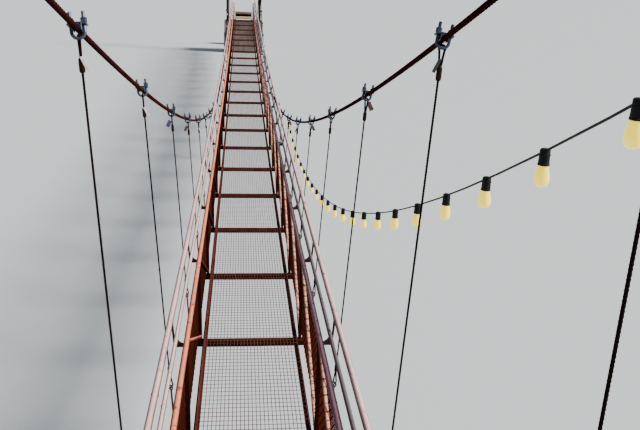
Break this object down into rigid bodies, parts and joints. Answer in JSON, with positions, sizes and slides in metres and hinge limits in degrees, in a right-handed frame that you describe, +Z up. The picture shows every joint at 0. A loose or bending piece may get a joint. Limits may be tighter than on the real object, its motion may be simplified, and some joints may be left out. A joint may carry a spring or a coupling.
{
  "type": "suspension footbridge",
  "caption": "Narrow suspension footbridge: wire-mesh deck between stiffening trusses with rails, hung from main cables over a portal at each end.",
  "frame": {"origin": "on the ground at midspan, on the centre line", "axes": "+Y along the bridge towards the far bank, +X to the right, +Z up"},
  "size_m": [1.78, 39.88, 4.748],
  "materials": {
    "cable": "rusted spiral strand and dark wire rope",
    "concrete": null,
    "expanded_metal": "dark red-brown painted mesh",
    "frame_paint": "red-brown paint, rusted and worn",
    "light_string": "black rubber wire and sockets with warm white bulbs",
    "mesh_wire": "galvanised wire with rust",
    "rail_paint": "faded pink-brown paint, worn smooth",
    "timber": "weathered sawn timber",
    "zinc": "dull galvanised steel"
  },
  "bodies": {
    "root": {"abutment_far": "concrete", "abutment_near": "concrete", "anchor_block_far_left": "concrete", "anchor_block_far_right": "concrete", "anchor_block_near_left": "concrete", "anchor_block_near_right": "concrete", "backstay_far_left": "cable", "backstay_far_right": "cable", "backstay_near_left": "cable", "backstay_near_right": "cable", "deck_frame_far": "frame_paint", "deck_frame_near": "frame_paint", "deck_mesh_far": "mesh_wire", "deck_mesh_near": "mesh_wire", "hand_rail_left_far": "rail_paint", "hand_rail_left_near": "rail_paint", "hand_rail_right_far": "rail_paint", "hand_rail_right_near": "rail_paint", "head_beam_far": "frame_paint", "head_beam_near": "frame_paint", "infill_mesh_left_far": "expanded_metal", "infill_mesh_left_near": "expanded_metal", "infill_mesh_right_far": "expanded_metal", "infill_mesh_right_near": "expanded_metal", "light_string": "light_string", "main_cable_left_far": "cable", "main_cable_left_near": "cable", "main_cable_right_far": "cable", "main_cable_right_near": "cable", "mid_rail_left_far": "rail_paint", "mid_rail_left_near": "rail_paint", "mid_rail_right_far": "rail_paint", "mid_rail_right_near": "rail_paint", "saddle_far_left": "zinc", "saddle_far_right": "zinc", "saddle_near_left": "zinc", "saddle_near_right": "zinc", "side_truss_left_far": "frame_paint", "side_truss_left_near": "frame_paint", "side_truss_right_far": "frame_paint", "side_truss_right_near": "frame_paint", "timber_steps_far": "timber", "timber_steps_near": "timber", "tower_leg_far_left": "frame_paint", "tower_leg_far_right": "frame_paint", "tower_leg_near_left": "frame_paint", "tower_leg_near_right": "frame_paint"}
  },
  "joints": []
}
